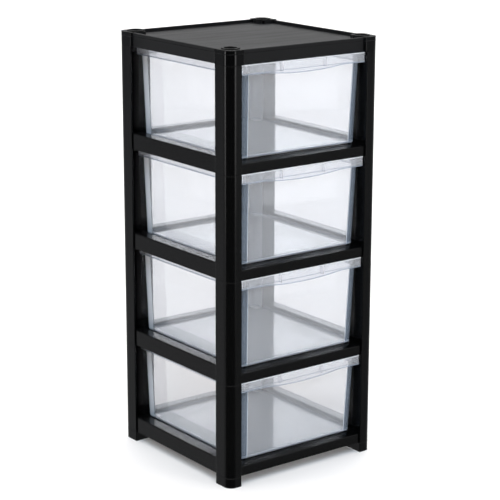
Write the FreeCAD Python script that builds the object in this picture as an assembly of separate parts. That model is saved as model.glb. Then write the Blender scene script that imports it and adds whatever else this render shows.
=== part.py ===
import FreeCAD, Part
import math
import os

# Storage tower: a lid, four stacked frames, four clear drawers and four feet.
# Millimetres, +Z up, origin on the floor under the middle, drawers open towards -Y.

# Plan of the tower
width = 382.0
depth = 390.0

# Heights of the stack, from the floor up
foot_height = 21.5
base_pitch = 200.0
tier_pitch = 215.5
tier_count = 3
lid_height = 30.0

# Corner posts and the plugs that locate each moulding on the one below
post_width = 32.3
post_depth = 46.5
post_radius = 18.0
post_edge = 1.5
post_wall = 3.0
plug_height = 12.0
plug_clearance = 0.3
stile_width = 77.0
stile_recess = 1.0
stile_wall = 4.0

# Shelf ring at the foot of each frame
front_recess = 4.0
side_recess = 3.0
back_recess = 4.0
rail_wall = 3.0
rail_round = 2.0
front_face = 20.0
front_slope = 19.0
side_face = 34.0
side_curb = 24.0
back_curb = 22.0
ledge_height = 25.0
ledge_lip = 7.0
front_ledge = 48.0
side_ledge = 76.0
back_ledge = 70.0

# Drawers
drawer_side_gap = 1.2
drawer_top_gap = 1.0
drawer_seat_gap = 0.3
drawer_front_set = 4.0
drawer_back_set = 17.0
drawer_wall = 2.2
drawer_floor = 2.4
drawer_corner = 12.0
drawer_foot_round = 5.0
rim_height = 20.0
rim_corner = 4.0
rim_side = 5.0
rim_front = 9.0
rim_back = 6.0
taper_side = 4.0
taper_front = 9.0
taper_back = 7.0
pull_width = 109.0
pull_rib = 2.0
pull_arc_width = 196.0
pull_arc_drop = 6.0

# Lid
lid_front_recess = 6.0
lid_side_recess = 5.0
lid_wall = 3.0
lid_border = 6.0
lid_border_drop = 1.0
lid_panel_drop = 8.0
lid_round = 2.0
block_width = 38.5
block_depth = 50.0
block_edge = 3.5
socket_inset_x = 26.0
socket_inset_y = 29.0
socket_outer = 37.0
socket_inner = 27.0
socket_rise = 2.0
socket_depth = 8.0
cap_height = 9.0
cap_key_width = 18.0
cap_key_depth = 3.0
seam_break = 0.8

lid_seam = foot_height + base_pitch + tier_count * tier_pitch
lid_top = lid_seam + lid_height
cap_seat = lid_top - cap_height
ring_top = lid_top + socket_rise


def box(x0, x1, y0, y1, z0, z1):
    return Part.makeBox(x1 - x0, y1 - y0, z1 - z0, FreeCAD.Vector(x0, y0, z0))


def rounded_wire(x0, x1, y0, y1, radii, z):
    """Closed wire of a rectangle; radii run x0y0, x1y0, x1y1, x0y1."""
    corners = [(x0, y0, 1, 1), (x1, y0, -1, 1), (x1, y1, -1, -1), (x0, y1, 1, -1)]
    edges, ends = [], []
    for (x, y, sx, sy), r in zip(corners, radii):
        on_x, on_y = FreeCAD.Vector(x + sx * r, y, z), FreeCAD.Vector(x, y + sy * r, z)
        reach = r * (1 - math.sqrt(0.5))
        middle = FreeCAD.Vector(x + sx * reach, y + sy * reach, z)
        start, end = (on_y, on_x) if sx == sy else (on_x, on_y)
        edges.append(Part.Arc(start, middle, end).toShape())
        ends.append((start, end))
    lines = []
    for i in range(len(ends)):
        lines.append(Part.makeLine(ends[i][1], ends[(i + 1) % len(ends)][0]))
    ordered = []
    for arc, line in zip(edges, lines):
        ordered += [arc, line]
    return Part.Wire(ordered)


def prism(x0, x1, y0, y1, radii, z0, z1):
    face = Part.Face(rounded_wire(x0, x1, y0, y1, radii, z0))
    return face.extrude(FreeCAD.Vector(0, 0, z1 - z0))


def profile_along_x(points, x0, x1):
    wire = Part.makePolygon([FreeCAD.Vector(x0, y, z) for y, z in points + points[:1]])
    return Part.Face(wire).extrude(FreeCAD.Vector(x1 - x0, 0, 0))


def profile_along_y(points, y0, y1):
    wire = Part.makePolygon([FreeCAD.Vector(x, y0, z) for x, z in points + points[:1]])
    return Part.Face(wire).extrude(FreeCAD.Vector(0, y1 - y0, 0))


def edges_through(shape, tests):
    """Edges whose both ends pass every test."""
    return [e for e in shape.Edges if all(test(v.Point) for v in e.Vertexes for test in tests)]


def near(value):
    return lambda number: abs(number - value) < plug_clearance / 2


def four_corners(shape):
    origin = FreeCAD.Vector(0, 0, 0)
    other = shape.mirror(origin, FreeCAD.Vector(1, 0, 0))
    pair = [shape, other]
    return pair + [s.mirror(origin, FreeCAD.Vector(0, 1, 0)) for s in pair]


def post_prism(inset, z0, z1):
    """Post section at the +X +Y corner, drawn in by inset."""
    inner = max(post_edge - inset, post_edge / 2)
    outer = max(post_radius - inset, post_edge)
    return prism(width / 2 - post_width + inset, width / 2 - inset,
                 depth / 2 - post_depth + inset, depth / 2 - inset,
                 [inner, inner, outer, inner], z0, z1)


def break_ends(solid, z0, z1):
    """Bevels the edges at both ends, so that a seam between two posts shows as a fine groove."""
    low, high = near(z0), near(z1)
    ends = edges_through(solid, [lambda p: low(p.z)]) + edges_through(solid, [lambda p: high(p.z)])
    return solid.makeChamfer(seam_break, ends)


def post(z0, z1):
    return break_ends(post_prism(0, z0, z1), z0, z1)


def plug(z, root):
    """Locating plug above z, grown from root below it."""
    return post_prism(post_wall + plug_clearance, z - root, z + plug_height)


def plug_core(z0, z1):
    return post_prism(post_wall + plug_clearance + post_wall, z0, z1)


def curb_points(face, curb, ledge, z):
    """Section of a side or back rail: outer wall, flat top, step down to the drawer ledge."""
    top, shelf = z + side_face, z + ledge_height
    step, hole, t = face - curb, face - ledge, rail_wall
    return [(face, z), (face, top), (step, top), (step, shelf), (hole, shelf),
            (hole, shelf - t - ledge_lip), (hole + t, shelf - t - ledge_lip), (hole + t, shelf - t),
            (step + t, shelf - t), (step + t, top - t), (face - t, top - t), (face - t, z)]


def front_points(z):
    """Section of the front rail: low face, slope up and flat ledge."""
    face = front_recess - depth / 2
    knee, hole, t = face + front_slope, face + front_ledge, rail_wall
    shelf = z + ledge_height
    return [(face, z), (face, z + front_face), (knee, shelf), (hole, shelf),
            (hole, shelf - t - ledge_lip), (hole - t, shelf - t - ledge_lip), (hole - t, shelf - t),
            (knee, shelf - t), (face + t, z + front_face - t), (face + t, z)]


def front_rail(z):
    reach = width / 2 - post_width + post_wall
    rail = profile_along_x(front_points(z), -reach, reach)
    at_face, at_top = near(front_recess - depth / 2), near(z + front_face)
    edges = edges_through(rail, [lambda p: at_face(p.y), lambda p: at_top(p.z)])
    return rail.makeFillet(rail_round, edges)


def back_rail(z):
    reach = width / 2 - post_width + post_wall
    face = depth / 2 - back_recess
    rail = profile_along_x(curb_points(face, back_curb, back_ledge, z), -reach, reach)
    at_face, at_top = near(face), near(z + side_face)
    edges = edges_through(rail, [lambda p: at_face(p.y), lambda p: at_top(p.z)])
    return rail.makeFillet(rail_round, edges)


def side_rails(z):
    reach = depth / 2 - post_depth + post_wall
    face = width / 2 - side_recess
    rail = profile_along_y(curb_points(face, side_curb, side_ledge, z), -reach, reach)
    at_face, at_top = near(face), near(z + side_face)
    edges = edges_through(rail, [lambda p: at_face(p.x), lambda p: at_top(p.z)])
    rail = rail.makeFillet(rail_round, edges)
    return [rail, rail.mirror(FreeCAD.Vector(0, 0, 0), FreeCAD.Vector(1, 0, 0))]


def both_sides(shapes):
    origin, across = FreeCAD.Vector(0, 0, 0), FreeCAD.Vector(1, 0, 0)
    return shapes + [shape.mirror(origin, across) for shape in shapes]


def back_stiles(z0, z1):
    """Flat flanges that widen the back posts towards the middle of the back."""
    y = depth / 2 - stile_recess
    return both_sides([box(width / 2 - stile_width, width / 2 - post_radius,
                           y - stile_wall, y, z0, z1)])


def back_post_spaces(z0, z1):
    """Spaces that open the back posts towards the drawer and leave angles one wall thick."""
    x, y = width / 2 - post_width, depth / 2 - post_depth
    tall = box(x, width / 2 - post_radius, y, depth / 2 - post_wall, z0, z1)
    wide = box(x, width / 2 - post_wall, y, depth / 2 - post_radius, z0, z1)
    return both_sides([tall, wide])


def frame(pitch, z):
    """One stacking frame: shelf ring, four posts and the plugs on their tops."""
    top = z + pitch
    solid = [front_rail(z), back_rail(z)] + side_rails(z)
    solid += four_corners(post(z, top)) + four_corners(plug(top, post_wall))
    solid += back_stiles(z, top)
    hollow = four_corners(post_prism(post_wall, z, top - post_wall))
    hollow += four_corners(plug_core(z, top + plug_height - post_wall))
    hollow += back_post_spaces(z + side_face, top - post_wall)
    return solid[0].fuse(solid[1:]).cut(hollow).removeSplitter()


def foot():
    """Foot under the +X +Y post, closed at the floor, cored from above."""
    block = post(0, foot_height).fuse(plug(foot_height, post_wall))
    return block.cut(plug_core(post_wall, foot_height + plug_height)).removeSplitter()


def tapered(x_low, y_low, y_low_back, z0, x_high, y_high, y_high_back, z1, radius):
    radii = [radius] * 4
    low = rounded_wire(-x_low, x_low, y_low, y_low_back, radii, z0)
    high = rounded_wire(-x_high, x_high, y_high, y_high_back, radii, z1)
    return Part.makeLoft([low, high], True, True)


def round_foot(shape, z, radius):
    at_foot = near(z)
    return shape.makeFillet(radius, edges_through(shape, [lambda p: at_foot(p.z)]))


def drawer_rim(x, y0, y1, top):
    """Lip and hanging skirt around the top of a drawer, with the curved pull in front."""
    base = top - rim_height
    t = drawer_wall
    radii = [rim_corner] * 4
    inner = [rim_corner - t] * 4
    shell = prism(-x, x, y0, y1, radii, base, top)
    shell = shell.cut(prism(t - x, x - t, y0 + t, y1 - t, inner, base, top - t))
    half = pull_arc_width / 2
    ends = [FreeCAD.Vector(s * half, y0, base) for s in (-1, 1)]
    low = FreeCAD.Vector(0, y0, base - pull_arc_drop)
    chord = Part.Wire([Part.Arc(ends[0], low, ends[1]).toShape(), Part.makeLine(ends[1], ends[0])])
    return shell.fuse(Part.Face(chord).extrude(FreeCAD.Vector(0, t, 0)))


def pull_ribs(y0, y1, top):
    ribs = []
    for side in (-1, 1):
        x = side * pull_width / 2
        ribs.append(box(x - pull_rib / 2, x + pull_rib / 2, y0, y1, top - rim_height, top))
    return ribs


def drawer(pitch, z):
    """Clear open drawer in the frame that stands at z."""
    bottom, top = z + ledge_height + drawer_seat_gap, z + pitch - drawer_top_gap
    rim_x = width / 2 - post_width - drawer_side_gap
    rim_y0, rim_y1 = drawer_front_set - depth / 2, depth / 2 - drawer_back_set
    x, y0, y1 = rim_x - rim_side, rim_y0 + rim_front, rim_y1 - rim_back
    low_x, low_y0, low_y1 = x - taper_side, y0 + taper_front, y1 - taper_back
    t = drawer_wall
    body = tapered(low_x, low_y0, low_y1, bottom, x, y0, y1, top, drawer_corner)
    body = round_foot(body, bottom, drawer_foot_round)
    inside = tapered(low_x - t, low_y0 + t, low_y1 - t, bottom + drawer_floor,
                     x - t, y0 + t, y1 - t, top, drawer_corner - t)
    inside = round_foot(inside, bottom + drawer_floor, drawer_foot_round - t)
    extras = [drawer_rim(rim_x, rim_y0, rim_y1, top)]
    extras += pull_ribs(rim_y0 + t / 2, y0 + t / 2, top)
    return body.fuse(extras).cut(inside).removeSplitter()


def lid_tray(z, rim_top, panel):
    """Lid without its corners: skirt, raised border and sunk panel."""
    x, y = width / 2 - lid_side_recess, depth / 2 - lid_front_recess
    tray = box(-x, x, -y, y, z, rim_top)
    at_top = near(rim_top)
    tray = tray.makeFillet(lid_round, edges_through(tray, [lambda p: at_top(p.z)]))
    b, t = lid_border, lid_wall
    tray = tray.cut(box(b - x, x - b, b - y, y - b, panel, rim_top))
    return tray.cut(box(t - x, x - t, t - y, y - t, z, panel - t))


def corner_block(z0, z1):
    """Block over the +X +Y post, larger than the post on its inner sides."""
    radii = [block_edge, block_edge, post_radius, block_edge]
    return prism(width / 2 - block_width, width / 2, depth / 2 - block_depth, depth / 2,
                 radii, z0, z1)


def cap_key(gap):
    """Square key under the +X +Y cap, or its pocket in the lid where there is a gap."""
    x, y, half = width / 2 - socket_inset_x, depth / 2 - socket_inset_y, cap_key_width / 2 + gap
    return box(x - half, x + half, y - half, y + half, cap_seat - cap_key_depth - gap, cap_seat)


def cap_cylinder(radius, z):
    """Cylinder about the socket of the +X +Y cap, from z up to the top of its ring."""
    centre = FreeCAD.Vector(width / 2 - socket_inset_x, depth / 2 - socket_inset_y, z)
    return Part.makeCylinder(radius, ring_top - z, centre)


def cap():
    """Cap on the +X +Y corner of the lid: a keyed block with a round socket."""
    at_top = near(lid_top)
    block = corner_block(cap_seat, lid_top)
    block = block.makeFillet(lid_round / 2, edges_through(block, [lambda p: at_top(p.z)]))
    socket = cap_cylinder(socket_inner / 2, ring_top - socket_depth)
    return block.fuse([cap_cylinder(socket_outer / 2, cap_seat), cap_key(0)]).cut(socket).removeSplitter()


def lid():
    """Lid with a hollow corner on every post, and seats for the caps and their rings."""
    tray = lid_tray(lid_seam, lid_top - lid_border_drop, lid_top - lid_panel_drop)
    ring_seat = cap_cylinder(socket_outer / 2 + plug_clearance, cap_seat)
    tray = tray.cut(four_corners(corner_block(cap_seat, lid_top)) + four_corners(ring_seat))
    at_seam = near(lid_seam)
    block = corner_block(lid_seam, cap_seat)
    block = block.makeChamfer(seam_break, edges_through(block, [lambda p: at_seam(p.z)]))
    hollow = four_corners(post_prism(post_wall, lid_seam, lid_seam + plug_height + post_wall))
    hollow += four_corners(cap_key(plug_clearance))
    return tray.fuse(four_corners(block)).cut(hollow).removeSplitter()


def save(name, shape):
    shape.exportStep("parts/" + name + ".step")


def build():
    os.makedirs("parts", exist_ok=True)
    names = ["base", "lower", "middle", "upper"]
    pitches = [base_pitch] + [tier_pitch] * tier_count
    z = foot_height
    for name, pitch in zip(names, pitches):
        save("frame_" + name, frame(pitch, z))
        save("drawer_" + name, drawer(pitch, z))
        z += pitch
    save("lid", lid())
    corners = ["back_right", "back_left", "front_right", "front_left"]
    for name, low, high in zip(corners, four_corners(foot()), four_corners(cap())):
        save("foot_" + name, low)
        save("cap_" + name, high)


build()
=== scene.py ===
"""Finishes and stage of the drawer tower: black stacking frames, a lid and clear drawers."""

import math

import bpy
from mathutils import Matrix, Vector


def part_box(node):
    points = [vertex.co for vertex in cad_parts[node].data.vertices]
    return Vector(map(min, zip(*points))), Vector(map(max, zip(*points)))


bl_info = {
    "name": "Drawer Tower",
    "version": (1, 0, 0),
    "blender": (4, 5, 0),
    "location": "View3D > Sidebar > Drawer Tower",
    "description": "Moulded plastic finishes and a studio for a storage tower with drawers",
    "category": "Object",
}

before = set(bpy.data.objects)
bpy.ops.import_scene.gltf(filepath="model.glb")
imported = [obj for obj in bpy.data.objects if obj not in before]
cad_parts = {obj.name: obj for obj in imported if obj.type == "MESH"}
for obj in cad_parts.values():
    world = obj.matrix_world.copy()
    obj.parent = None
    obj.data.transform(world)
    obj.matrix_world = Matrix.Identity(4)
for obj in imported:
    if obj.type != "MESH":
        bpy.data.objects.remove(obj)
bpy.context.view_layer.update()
frame_nodes = [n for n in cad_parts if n.startswith(("frame_", "foot_"))]
lid_nodes = [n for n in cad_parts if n.startswith(("lid", "cap_"))]
drawer_nodes = [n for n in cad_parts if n.startswith("drawer_")]

# Levels of the lid that its finish follows, in metres
border_rise, level_margin = 0.007, 0.0006
panel_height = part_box("lid")[1][2] - border_rise
block_inner_x, block_inner_y = 0.1525, 0.145

# Sizes of a drawer that its finish follows, in metres
rim_height, rim_side, rim_front, rim_back = 0.020, 0.005, 0.009, 0.006
taper_side, taper_front, taper_back = 0.004, 0.009, 0.007
# corner_band and back_band are how far the painted light in a drawer's front and back corners reaches;
# line_width is how wide the painted shade and glint lines are
corner_band, back_band, low_band = 0.019, 0.026, 0.008
floor_thickness, line_width = 0.0024, 0.0016
pull_arc_half, pull_arc_drop = 0.098, 0.006

# Noises, each as cells a metre, detail and roughness
flow_noise, grain_noise, dust_noise = (9.0, 3.0), (1400.0, 1.0), (160.0, 4.0, 0.7)
matt_noise, streak_noise, pore_scale = (24.0, 4.0, 0.6), (60.0, 4.0, 0.6), 700.0
haze_noise, ripple_noise, mottle_noise = (14.0, 3.0, 0.55), (22.0, 2.0), (3.0, 4.0)
streak_stretch = (0.07, 1.0, 1.0)

# Bumps, each as strength and depth in metres
flow_bump, grain_bump = (0.05, 0.002), (0.10, 0.0001)
pore_bump, ripple_bump = (0.35, 0.0003), (0.04, 0.002)

# Tones over a noise, each as its place and what it multiplies the colour by
dust_tones = ((0.35, 0.8), (0.62, 1.0), (0.80, 1.5))
streak_tones = ((0.36, 0.3), (0.64, 1.7))
haze_tones, mottle_tones = ((0.3, 1.0), (0.7, 0.985)), ((0.3, 0.98), (0.7, 1.0))
# Painted sheen: the lid's skirt takes the panel colour times this, lighter than the blocks' black,
# standing in for the light it reflects
painted_skirt_sheen = 0.7

# How far a noise swings the roughness or the clearness either way
gloss_swing, matt_swing, clearness_swing = 0.03, 0.04, 0.02

# Roughness of the clear walls, least and most, and of the studio floor's paint
clear_gloss, paint_roughness = (0.01, 0.05), 0.9

# Studio walls, as shares of a turn from -X through -Y, and their light
front_glint, right_wall, back_wall = (0.303, 0.328), (0.340, 0.490), (0.570, 0.710)
left_wall, left_glint, dark_corner = (0.790, 0.925), (0.936, 0.955), (0.290, 0.968)
low_right_wall, low_left_wall, low_corner = (0.330, 0.490), (0.790, 0.930), (0.300, 0.960)
front_glint_light, left_glint_light, back_light = (3.7,) * 3, (6.3,) * 3, (3.6,) * 3
right_light, left_light, dark_light = (0.33, 0.335, 0.345), (0.25, 0.258, 0.272), (0.02,) * 3
low_right_light, low_left_light = (0.22, 0.225, 0.23), (0.36, 0.365, 0.375)
low_dark_light, ceiling_light = (0.06,) * 3, (1.05,) * 3

# Heights in the room: the walls' and the horizon's from straight down at 0 to straight up at 1,
# and the ceiling's from the horizon at 0 to straight up at 1
walls_change, ceiling_start = (0.380, 0.432), (0.45, 0.80)
horizon_start, horizon_end, horizon_share = (0.485, 0.500), (0.550, 0.585), 0.1

floor_sides, sensor_width, far_clip = 96, 36.0, 200.0


# ---------------------------------------------------------------- node helpers

def new_material(name):
    """New material with its node tree and its Principled shader."""
    material = bpy.data.materials.new(name)
    material.use_nodes = True
    tree = material.node_tree
    shader = tree.nodes["Principled BSDF"]
    return material, tree, shader


def add(tree, kind, **settings):
    """Node of one kind, with its own properties set."""
    node = tree.nodes.new(kind)
    for name, value in settings.items():
        setattr(node, name, value)
    return node


def feed(tree, sockets, values):
    """Links or sets input sockets, each from a socket, a number or a colour."""
    for socket, value in zip(sockets, values):
        if isinstance(value, bpy.types.NodeSocket):
            tree.links.new(value, socket)
        elif socket.type == "RGBA":
            socket.default_value = (*value[:3], 1.0)
        elif value is not None:
            socket.default_value = value


def math_node(tree, operation, a, b=None, clamp=False):
    """Math node fed by sockets or plain numbers; gives its output socket."""
    node = add(tree, "ShaderNodeMath", operation=operation, use_clamp=clamp)
    feed(tree, node.inputs, (a, b))
    return node.outputs[0]


def mix_float(tree, factor, a, b):
    """Blends two numbers or sockets by a factor socket."""
    node = add(tree, "ShaderNodeMix", data_type="FLOAT")
    feed(tree, (node.inputs["Factor"], *node.inputs[2:4]), (factor, a, b))
    return node.outputs[0]


def mix_colour(tree, factor, a, b):
    """Blends two colours or sockets by a factor socket."""
    node = add(tree, "ShaderNodeMix", data_type="RGBA")
    feed(tree, (node.inputs["Factor"], *node.inputs[6:8]), (factor, a, b))
    return node.outputs[2]


def above(tree, value, limit):
    """1 where a value is over the limit."""
    return math_node(tree, "GREATER_THAN", value, limit)


def below(tree, value, limit):
    """1 where a value is under the limit."""
    return math_node(tree, "LESS_THAN", value, limit)


def size_of(tree, value):
    """A value without its sign."""
    return math_node(tree, "ABSOLUTE", value)


def near(tree, value, reach):
    """1 where a value is within the reach of zero."""
    return below(tree, size_of(tree, value), reach)


def times(tree, a, b):
    """Product of two values, or the mask where two masks meet."""
    return math_node(tree, "MULTIPLY", a, b)


def either(tree, a, b):
    """The larger of two values, or the mask where one of two masks is 1."""
    return math_node(tree, "MAXIMUM", a, b)


def object_point(tree):
    """Object coordinates, which are metres from the middle of the tower's foot."""
    return add(tree, "ShaderNodeTexCoord").outputs["Object"]


def split_axes(tree, point):
    """X, Y and Z sockets of a point."""
    node = add(tree, "ShaderNodeSeparateXYZ")
    tree.links.new(point, node.inputs[0])
    return node.outputs["X"], node.outputs["Y"], node.outputs["Z"]


def noise(tree, point, scale, detail=2.0, roughness=0.5):
    """Noise value socket at so many cells a metre."""
    node = add(tree, "ShaderNodeTexNoise")
    node.inputs["Scale"].default_value = scale
    node.inputs["Detail"].default_value = detail
    node.inputs["Roughness"].default_value = roughness
    tree.links.new(point, node.inputs["Vector"])
    return node.outputs["Fac"]


def ramp(tree, value, stops):
    """Colour ramp from (place, colour) stops."""
    node = add(tree, "ShaderNodeValToRGB")
    elements = node.color_ramp.elements
    while len(elements) < len(stops):
        elements.new(0.5)
    for element, (place, colour) in zip(elements, stops):
        element.position = place
        element.color = (*colour, 1.0)
    tree.links.new(value, node.inputs["Fac"])
    return node.outputs["Color"]


def fade(tree, value, places):
    """0 before the first place, 1 after the second and a slope between them."""
    return ramp(tree, value, [(places[0], (0.0,) * 3), (places[1], (1.0,) * 3)])


def spread(tree, value, low, high):
    """Maps a 0 to 1 value onto low to high."""
    node = add(tree, "ShaderNodeMapRange", clamp=True)
    node.inputs["To Min"].default_value = low
    node.inputs["To Max"].default_value = high
    tree.links.new(value, node.inputs["Value"])
    return node.outputs["Result"]


def swing(tree, value, middle, reach):
    """Maps a 0 to 1 value onto a reach either side of the middle."""
    return spread(tree, value, middle - reach, middle + reach)


def bump(tree, height, strength, distance, normal=None):
    """Bump socket, over an earlier one where given."""
    node = add(tree, "ShaderNodeBump")
    node.inputs["Strength"].default_value = strength
    node.inputs["Distance"].default_value = distance
    tree.links.new(height, node.inputs["Height"])
    if normal is not None:
        tree.links.new(normal, node.inputs["Normal"])
    return node.outputs["Normal"]


def shade(colour, factor):
    """A colour made lighter or darker."""
    return tuple(min(1.0, c * factor) for c in colour[:3])


def shades(colour, tones):
    """Ramp stops of one colour in several tones."""
    return [(place, shade(colour, factor)) for place, factor in tones]


def wear(node_names, material):
    """Puts one material in every slot of the named CAD nodes."""
    for name in node_names:
        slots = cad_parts[name].material_slots
        if not slots:
            raise RuntimeError(name + " has no material slot")
        for slot in slots:
            slot.material = material


# ---------------------------------------------------------------- black plastics

def black_moulding(values):
    """Satin black moulded plastic with a fine tool grain and faint flow marks."""
    material, tree, shader = new_material("satin_black_moulding")
    point = object_point(tree)
    flow = noise(tree, point, *flow_noise)
    grain = noise(tree, point, *grain_noise)
    dust = noise(tree, point, *dust_noise)
    colour = ramp(tree, dust, shades(values.black_colour, dust_tones))
    tree.links.new(colour, shader.inputs["Base Color"])
    rough = swing(tree, flow, values.black_roughness, gloss_swing)
    tree.links.new(rough, shader.inputs["Roughness"])
    shader.inputs["Specular IOR Level"].default_value = values.black_specular
    fine = bump(tree, grain, *grain_bump)
    tree.links.new(bump(tree, flow, *flow_bump, fine), shader.inputs["Normal"])
    return material


def lid_masks(tree, point):
    """Masks over the lid: its sunk panel, the top of its border and its corner blocks."""
    x, y, z = split_axes(tree, point)
    level = math_node(tree, "SUBTRACT", z, panel_height)
    on_panel = near(tree, level, level_margin)
    on_top = above(tree, level, border_rise - level_margin)
    in_corner = times(tree, above(tree, size_of(tree, x), block_inner_x),
                      above(tree, size_of(tree, y), block_inner_y))
    return on_panel, on_top, in_corner


def lid_streaks(tree, point):
    """Noise drawn out into faint streaks that run across the lid from side to side."""
    along = add(tree, "ShaderNodeMapping")
    along.inputs["Scale"].default_value = streak_stretch
    tree.links.new(point, along.inputs["Vector"])
    return noise(tree, along.outputs["Vector"], *streak_noise)


def lid_pores(tree, point):
    """Cells of the leather grain that is raised on the lid's panel."""
    pores = add(tree, "ShaderNodeTexVoronoi", feature="F1")
    pores.inputs["Scale"].default_value = pore_scale
    tree.links.new(point, pores.inputs["Vector"])
    return pores.outputs["Distance"]


def lid_moulding(values):
    """Lid plastic: glossy corner blocks, satin skirt lightened by painted sheen, matt border and a
    grained, streaked panel.
    """
    material, tree, shader = new_material("grained_black_lid")
    point = object_point(tree)
    on_panel, on_top, in_corner = lid_masks(tree, point)
    panel = ramp(tree, lid_streaks(tree, point), shades(values.lid_colour, streak_tones))
    # Painted sheen: the skirt is lighter than the black corner blocks
    rest = mix_colour(tree, in_corner, shade(values.lid_colour, painted_skirt_sheen), values.black_colour)
    tree.links.new(mix_colour(tree, on_panel, rest, panel), shader.inputs["Base Color"])
    matt = swing(tree, noise(tree, point, *matt_noise), values.lid_roughness, matt_swing)
    sides = mix_float(tree, in_corner, values.skirt_roughness, values.block_roughness)
    on_flat = either(tree, on_panel, on_top)
    tree.links.new(mix_float(tree, on_flat, sides, matt), shader.inputs["Roughness"])
    shader.inputs["Specular IOR Level"].default_value = values.lid_specular
    depth = times(tree, lid_pores(tree, point), on_panel)
    tree.links.new(bump(tree, depth, *pore_bump), shader.inputs["Normal"])
    return material


# ---------------------------------------------------------------- clear plastic

def past_wall(tree, along, part, foot, top, band):
    """How far a point lies past the start of the band that ends at a tapered wall."""
    wall = math_node(tree, "ADD", times(tree, part, top - foot), foot)
    return math_node(tree, "ADD", math_node(tree, "SUBTRACT", along, wall), band)


def corner_masks(tree, axes, part, depth, box):
    """Masks over a drawer's front and back corners, where light is painted, and the painted glint lines
    beside them.
    """
    x, y = axes[:2]
    (_, y_low, _), (x_high, y_high, _) = box
    side, front, back = x_high - rim_side, -y_low - rim_front, y_high - rim_back
    past_side = past_wall(tree, size_of(tree, x), part, side - taper_side, side, corner_band)
    forward = times(tree, y, -1.0)
    past_front = past_wall(tree, forward, part, front - taper_front, front, corner_band)
    past_back = past_wall(tree, y, part, back - taper_back, back, back_band)
    inside = math_node(tree, "MINIMUM", past_side, either(tree, past_front, past_back))
    hanging = above(tree, depth, rim_height)
    corner = times(tree, hanging, above(tree, inside, 0.0))
    # Painted light: the back corners lose most of their clearness so that they look light, standing in
    # for the light that the rounded back corners refract
    painted_back_corner_light = times(tree, corner, above(tree, y, 0.0))
    # Painted light: the front corners get a slate tint and lose clearness, standing in for the light
    # that the rounded corners refract
    painted_front_corner_light = math_node(tree, "SUBTRACT", corner, painted_back_corner_light)
    # Painted highlights: thin glint lines where the corner bands start
    lines = times(tree, near(tree, inside, line_width / 2), hanging)
    return painted_front_corner_light, painted_back_corner_light, lines


def hem_line(tree, axes, depth, y_low):
    """Mask of the painted shade line under the rim, which sinks in an arc under the pull in front."""
    x, y = axes[:2]
    across = math_node(tree, "DIVIDE", size_of(tree, x), pull_arc_half)
    bow = math_node(tree, "SUBTRACT", 1.0, times(tree, across, across), clamp=True)
    at_front = below(tree, y, y_low + rim_front / 2)
    drop = times(tree, times(tree, bow, at_front), pull_arc_drop)
    line = math_node(tree, "ADD", drop, rim_height - line_width / 2)
    return near(tree, math_node(tree, "SUBTRACT", depth, line), line_width / 2)


def drawer_masks(tree, point, name):
    """Masks over one drawer: floor, foot of the walls, front and back corners for painted light, painted
    shade lines and painted glint lines.
    """
    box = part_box(name)
    (_, y_low, z_low), (_, _, z_high) = box
    axes = split_axes(tree, point)
    rise = math_node(tree, "SUBTRACT", axes[2], z_low)
    depth = math_node(tree, "SUBTRACT", z_high, axes[2])
    part = math_node(tree, "DIVIDE", rise, z_high - z_low)
    painted_front_corner_light, painted_back_corner_light, painted_corner_glints = corner_masks(tree, axes, part, depth, box)
    floor = below(tree, rise, floor_thickness)
    foot = math_node(tree, "SUBTRACT", below(tree, rise, low_band), floor)
    over_floor = math_node(tree, "SUBTRACT", rise, floor_thickness + line_width)
    foot_line = near(tree, over_floor, line_width / 2)
    # Painted shade: dark lines along the foot of the walls and under the rim
    painted_shade_lines = either(tree, foot_line, hem_line(tree, axes, depth, y_low))
    # Painted highlights: glint lines at the corner bands and along the rim's top edge
    painted_glint_lines = either(tree, painted_corner_glints, below(tree, depth, line_width))
    return floor, foot, painted_front_corner_light, painted_back_corner_light, painted_shade_lines, painted_glint_lines


def clear_moulding(values, name):
    """Clear moulded plastic: glossy and see-through, with haze and flow ripple, painted light in its
    corners and painted shade and glint lines along its edges.
    """
    material, tree, shader = new_material("clear_moulding_" + name)
    point = object_point(tree)
    floor, foot, painted_front_corner_light, painted_back_corner_light, painted_shade_lines, painted_glint_lines = drawer_masks(tree, point, name)
    cloud = noise(tree, point, *haze_noise)
    tint = ramp(tree, cloud, shades(values.clear_colour, haze_tones))
    # Painted light: the front corners take the slate corner colour
    colour = mix_colour(tree, painted_front_corner_light, tint, values.painted_corner_colour)
    # Painted shade: the dark lines take the grey-blue edge colour
    colour = mix_colour(tree, painted_shade_lines, colour, values.painted_edge_shade_colour)
    tree.links.new(colour, shader.inputs["Base Color"])
    gloss = spread(tree, cloud, *clear_gloss)
    tree.links.new(mix_float(tree, floor, gloss, values.floor_roughness), shader.inputs["Roughness"])
    clearness = swing(tree, cloud, values.clearness, clearness_swing)
    for mask, loss in ((floor, values.floor_haze), (foot, values.low_haze),
                       (painted_front_corner_light, values.painted_corner_haze), (painted_back_corner_light, values.painted_back_corner_haze),
                       (painted_shade_lines, values.painted_edge_shade_haze), (painted_glint_lines, values.glint_haze)):
        clearness = math_node(tree, "SUBTRACT", clearness, times(tree, mask, loss), clamp=True)
    tree.links.new(clearness, shader.inputs["Transmission Weight"])
    shader.inputs["IOR"].default_value = values.clear_ior
    ripple = noise(tree, point, *ripple_noise)
    tree.links.new(bump(tree, ripple, *ripple_bump), shader.inputs["Normal"])
    return material


# ---------------------------------------------------------------- studio floor

def floor_paint(values):
    """Pale matt studio floor with a barely visible mottle."""
    material, tree, shader = new_material("pale_studio_floor")
    cloud = noise(tree, object_point(tree), *mottle_noise)
    colour = ramp(tree, cloud, shades(values.floor_colour, mottle_tones))
    tree.links.new(colour, shader.inputs["Base Color"])
    shader.inputs["Roughness"].default_value = paint_roughness
    shader.inputs["Specular IOR Level"].default_value = 0.0
    shader.inputs["Emission Color"].default_value = (1.0, 1.0, 1.0, 1.0)
    shader.inputs["Emission Strength"].default_value = values.floor_glow
    return material


# ---------------------------------------------------------------- values

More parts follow.
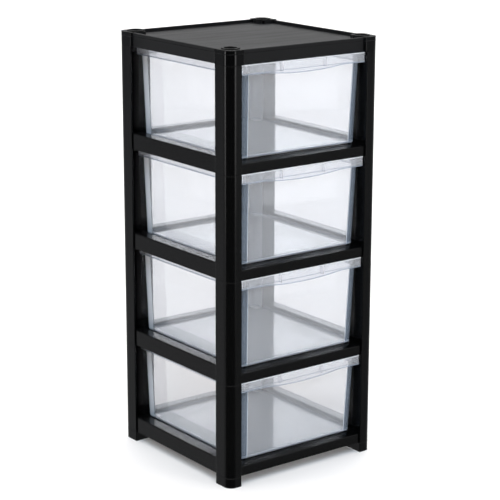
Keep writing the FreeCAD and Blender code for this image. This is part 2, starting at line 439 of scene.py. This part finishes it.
class TowerFinish(bpy.types.PropertyGroup):
    """Colours and gloss of the tower's three plastics."""

    black_colour: bpy.props.FloatVectorProperty(
        name="Black", description="Colour of the frames and feet", subtype="COLOR",
        size=3, min=0.0, max=1.0, default=(0.0016, 0.0016, 0.0017))
    black_roughness: bpy.props.FloatProperty(
        name="Black roughness", description="Roughness of the frames and feet",
        subtype="FACTOR", min=0.05, max=1.0, default=0.19)
    black_specular: bpy.props.FloatProperty(
        name="Black specular", description="Specular level of the frames and feet",
        subtype="FACTOR", min=0.0, max=1.0, default=0.29)
    lid_colour: bpy.props.FloatVectorProperty(
        name="Lid panel", description="Colour of the lid's grained panel", subtype="COLOR",
        size=3, min=0.0, max=1.0, default=(0.010, 0.010, 0.0107))
    lid_roughness: bpy.props.FloatProperty(
        name="Panel roughness", description="Roughness of the lid's grained panel",
        subtype="FACTOR", min=0.05, max=1.0, default=0.80)
    block_roughness: bpy.props.FloatProperty(
        name="Block roughness", description="Roughness of the lid's four corner blocks",
        subtype="FACTOR", min=0.02, max=1.0, default=0.07)
    skirt_roughness: bpy.props.FloatProperty(
        name="Skirt roughness", description="Roughness of the lid's skirt",
        subtype="FACTOR", min=0.02, max=1.0, default=0.45)
    lid_specular: bpy.props.FloatProperty(
        name="Lid specular", description="Specular level of the lid",
        subtype="FACTOR", min=0.0, max=1.0, default=0.24)
    clear_colour: bpy.props.FloatVectorProperty(
        name="Clear", description="Tint of the clear plastic", subtype="COLOR",
        size=3, min=0.0, max=1.0, default=(0.950, 0.964, 0.992))
    clearness: bpy.props.FloatProperty(
        name="Clearness", description="Share of the light that one clear surface lets through",
        subtype="FACTOR", min=0.0, max=1.0, default=0.86)
    floor_haze: bpy.props.FloatProperty(
        name="Floor haze", description="Clearness lost on the textured floor of a drawer",
        subtype="FACTOR", min=0.0, max=1.0, default=0.30)
    floor_roughness: bpy.props.FloatProperty(
        name="Floor roughness", description="Roughness of the textured floor of a drawer",
        subtype="FACTOR", min=0.0, max=1.0, default=0.11)
    low_haze: bpy.props.FloatProperty(
        name="Foot haze", description="Clearness lost along the foot of a drawer's walls",
        subtype="FACTOR", min=0.0, max=1.0, default=0.16)
    # Painted light in the front corners: their lost clearness and their slate colour stand in for
    # refracted light
    painted_corner_haze: bpy.props.FloatProperty(
        name="Front corner haze", description="Clearness lost in the two front corners of a drawer",
        subtype="FACTOR", min=0.0, max=1.0, default=0.20)
    painted_corner_colour: bpy.props.FloatVectorProperty(
        name="Front corners", description="Colour of the two front corners of a drawer",
        subtype="COLOR", size=3, min=0.0, max=1.0, default=(0.32, 0.375, 0.445))
    # Painted light in the back corners: the clearness lost there makes them light, standing in for
    # refracted light
    painted_back_corner_haze: bpy.props.FloatProperty(
        name="Back corner haze", description="Clearness lost in the two back corners of a drawer",
        subtype="FACTOR", min=0.0, max=1.0, default=0.80)
    # Painted highlights along the edges: the clearness lost there makes thin glint lines
    glint_haze: bpy.props.FloatProperty(
        name="Bright edge haze", description="Clearness lost where an edge catches the light",
        subtype="FACTOR", min=0.0, max=1.0, default=0.55)
    # Painted shade along the thin edges: the clearness lost there and the grey-blue edge colour make
    # dark lines
    painted_edge_shade_haze: bpy.props.FloatProperty(
        name="Edge haze", description="Clearness lost along the thin edges of a drawer",
        subtype="FACTOR", min=0.0, max=1.0, default=0.22)
    painted_edge_shade_colour: bpy.props.FloatVectorProperty(
        name="Edges", description="Colour of the thin edges of a drawer", subtype="COLOR",
        size=3, min=0.0, max=1.0, default=(0.55, 0.61, 0.70))
    clear_ior: bpy.props.FloatProperty(
        name="Clear index", description="Refractive index of the clear plastic",
        min=1.0, max=3.0, default=1.55)


class TowerStage(bpy.types.PropertyGroup):
    """Floor, light and camera."""

    floor_colour: bpy.props.FloatVectorProperty(
        name="Floor", description="Colour of the floor", subtype="COLOR",
        size=3, min=0.0, max=1.0, default=(0.86, 0.81, 0.77))
    floor_reach: bpy.props.FloatProperty(
        name="Floor reach", description="Radius of the floor", unit="LENGTH", default=40.0)
    floor_glow: bpy.props.FloatProperty(
        name="Floor glow", description="Light that the backlit floor gives",
        min=0.0, default=0.10)
    room_light: bpy.props.FloatProperty(
        name="Room light", description="Strength of the studio's surrounding light",
        min=0.0, default=1.0)
    top_light: bpy.props.FloatProperty(
        name="Top light", description="Strength of the soft light overhead",
        min=0.0, default=0.9)
    top_spread: bpy.props.FloatProperty(
        name="Top light spread", description="Angle that the light overhead covers",
        subtype="ANGLE", min=0.0, default=1.2)
    fill_light: bpy.props.FloatProperty(
        name="Fill light", description="Strength of the cool light from the front left",
        min=0.0, default=1.6)
    fill_spread: bpy.props.FloatProperty(
        name="Fill light spread", description="Angle that the cool light covers",
        subtype="ANGLE", min=0.0, default=0.6)
    fill_place: bpy.props.FloatVectorProperty(
        name="Fill place", description="Where the cool light shines from",
        subtype="TRANSLATION", unit="LENGTH", size=3, default=(-2.1, -2.8, 3.4))
    fill_colour: bpy.props.FloatVectorProperty(
        name="Fill colour", description="Colour of the light from the front left", subtype="COLOR",
        size=3, min=0.0, max=1.0, default=(0.62, 0.80, 1.0))
    eye: bpy.props.FloatVectorProperty(
        name="Camera place", description="Where the camera stands",
        subtype="TRANSLATION", unit="LENGTH", size=3, default=(-2.1057, -2.7982, 1.3542))
    yaw: bpy.props.FloatProperty(
        name="Camera turn", description="Turn of the camera from +Y towards +X",
        subtype="ANGLE", default=0.6470)
    pitch: bpy.props.FloatProperty(
        name="Camera dip", description="How far the camera looks down",
        subtype="ANGLE", default=0.2565)
    roll: bpy.props.FloatProperty(
        name="Camera roll", description="Roll of the camera", subtype="ANGLE", default=0.0023)
    lens: bpy.props.FloatProperty(
        name="Lens", description="Focal length on a 36 mm wide sensor",
        unit="CAMERA", default=122.47)


# ---------------------------------------------------------------- operators

class TOWER_OT_frames(bpy.types.Operator):
    """Satin black plastic on the four stacking frames and the four feet."""

    bl_idname = "tower.frames"
    bl_label = "Frames and feet"

    def execute(self, context):
        wear(frame_nodes, black_moulding(context.scene.tower_finish))
        return {"FINISHED"}


class TOWER_OT_lid(bpy.types.Operator):
    """Black plastic on the lid and on the caps of its four corner blocks."""

    bl_idname = "tower.lid"
    bl_label = "Lid"

    def execute(self, context):
        wear(lid_nodes, lid_moulding(context.scene.tower_finish))
        return {"FINISHED"}


class TOWER_OT_drawers(bpy.types.Operator):
    """Clear plastic on the four drawers."""

    bl_idname = "tower.drawers"
    bl_label = "Drawers"

    def execute(self, context):
        for name in drawer_nodes:
            wear([name], clear_moulding(context.scene.tower_finish, name))
        return {"FINISHED"}


class TOWER_OT_stage(bpy.types.Operator):
    """Pale floor, soft studio light and the camera."""

    bl_idname = "tower.stage"
    bl_label = "Stage"

    def execute(self, context):
        values = context.scene.tower_stage
        self.lay_floor(context, values)
        self.light_room(context, values)
        self.hang_lights(context, values)
        self.place_camera(context, values)
        return {"FINISHED"}

    def lay_floor(self, context, values):
        """Lays the wide round floor that the tower stands on."""
        mesh = bpy.data.meshes.new("floor")
        reach = values.floor_reach
        turns = [math.tau * i / floor_sides for i in range(floor_sides)]
        rim = [(reach * math.cos(a), reach * math.sin(a), 0.0) for a in turns]
        mesh.from_pydata(rim, [], [list(range(floor_sides))])
        floor = bpy.data.objects.new("floor", mesh)
        context.scene.collection.objects.link(floor)
        mesh.materials.append(floor_paint(values))
        floor.visible_glossy = False

    def light_room(self, context, values):
        """Lights the room: walls in two rows, a ceiling and a dim horizon."""
        world = bpy.data.worlds.new("studio_room")
        context.scene.world = world
        world.use_nodes = True
        tree = world.node_tree
        shader = tree.nodes["Background"]
        x, y, z = split_axes(tree, add(tree, "ShaderNodeTexCoord").outputs["Generated"])
        turn = math_node(tree, "DIVIDE", math_node(tree, "ARCTAN2", y, x), math.tau)
        round_room = math_node(tree, "ADD", turn, 0.5)
        level = math_node(tree, "ADD", math_node(tree, "DIVIDE", z, 2.0), 0.5)
        walls = mix_colour(tree, fade(tree, level, walls_change),
                           self.lower_walls(tree, round_room), self.upper_walls(tree, round_room))
        overhead = fade(tree, spread(tree, z, 0.0, 1.0), ceiling_start)
        tree.links.new(mix_colour(tree, overhead, walls, ceiling_light), shader.inputs["Color"])
        full, low = (values.room_light,) * 3, (values.room_light * horizon_share,) * 3
        places = (*horizon_start, *horizon_end)
        strength = ramp(tree, level, list(zip(places, (full, low, low, full))))
        tree.links.new(strength, shader.inputs["Strength"])

    def upper_walls(self, tree, round_room):
        """Colour of the walls' upper row, around the room."""
        zones = ((front_glint, front_glint_light), (right_wall, right_light), (back_wall, back_light),
                 (left_wall, left_light), (left_glint, left_glint_light))
        stops = [(place, light) for zone, light in zones for place in zone]
        return ramp(tree, round_room, [(0.0, dark_light), (dark_corner[0], dark_light), *stops,
                                       (dark_corner[1], dark_light)])

    def lower_walls(self, tree, round_room):
        """Colour of the walls' lower row, around the room."""
        zones = ((low_right_wall, low_right_light), (back_wall, back_light),
                 (low_left_wall, low_left_light))
        stops = [(place, light) for zone, light in zones for place in zone]
        return ramp(tree, round_room, [(0.0, low_dark_light), (low_corner[0], low_dark_light), *stops,
                                       (low_corner[1], low_dark_light)])

    def hang_lights(self, context, values):
        """Hangs the soft light overhead and the cool one at the front left."""
        self.hang(context, "top_light", values.top_light, values.top_spread, (1.0,) * 3,
                  Vector((0, 0, 1)))
        fill = self.hang(context, "fill_light", values.fill_light, values.fill_spread,
                         values.fill_colour[:], Vector(values.fill_place))
        fill.visible_glossy = False

    def hang(self, context, name, energy, angle, colour, place):
        """Sun lamp that shines from a place towards the tower's foot."""
        light = bpy.data.lights.new(name, "SUN")
        light.angle = angle
        light.energy = energy
        light.color = colour
        lamp = bpy.data.objects.new(name, light)
        lamp.location = place
        lamp.rotation_euler = place.to_track_quat("Z", "Y").to_euler()
        context.scene.collection.objects.link(lamp)
        return lamp

    def place_camera(self, context, values):
        """Sets up the camera from its place, turn, dip and roll."""
        data = bpy.data.cameras.new("camera")
        data.lens = values.lens
        data.sensor_width = sensor_width
        data.clip_end = far_clip
        camera = bpy.data.objects.new("camera", data)
        context.scene.collection.objects.link(camera)
        turn, dip = values.yaw, values.pitch
        ahead = Vector((math.sin(turn) * math.cos(dip), math.cos(turn) * math.cos(dip), -math.sin(dip)))
        right = Vector((math.cos(turn), -math.sin(turn), 0.0))
        up = right.cross(ahead)
        c, s = math.cos(values.roll), math.sin(values.roll)
        right, up = right * c + up * s, up * c - right * s
        axes = Matrix((right, up, -ahead)).transposed()
        camera.matrix_world = Matrix.Translation(values.eye) @ axes.to_4x4()
        context.scene.camera = camera
        context.scene.view_settings.view_transform = "Standard"


class TOWER_PT_panel(bpy.types.Panel):
    """Finishes, stage and build steps of the drawer tower."""

    bl_label = "Drawer Tower"
    bl_idname = "TOWER_PT_panel"
    bl_space_type = "VIEW_3D"
    bl_region_type = "UI"
    bl_category = "Drawer Tower"

    def draw(self, context):
        layout = self.layout
        for group in (context.scene.tower_finish, context.scene.tower_stage):
            box = layout.box()
            for name in group.bl_rna.properties.keys():
                if name not in ("rna_type", "name"):
                    box.prop(group, name)
        for step in steps:
            layout.operator(step.bl_idname)


steps = (TOWER_OT_frames, TOWER_OT_lid, TOWER_OT_drawers, TOWER_OT_stage)
classes = (TowerFinish, TowerStage, *steps, TOWER_PT_panel)


def register():
    """Makes the operators, values and panel known."""
    for cls in classes:
        bpy.utils.register_class(cls)
    bpy.types.Scene.tower_finish = bpy.props.PointerProperty(type=TowerFinish)
    bpy.types.Scene.tower_stage = bpy.props.PointerProperty(type=TowerStage)


def unregister():
    """Takes them away again."""
    del bpy.types.Scene.tower_stage
    del bpy.types.Scene.tower_finish
    for cls in reversed(classes):
        bpy.utils.unregister_class(cls)


def main():
    """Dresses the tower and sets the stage."""
    register()
    bpy.ops.tower.frames()
    bpy.ops.tower.lid()
    bpy.ops.tower.drawers()
    bpy.ops.tower.stage()


if __name__ == "__main__":
    main()
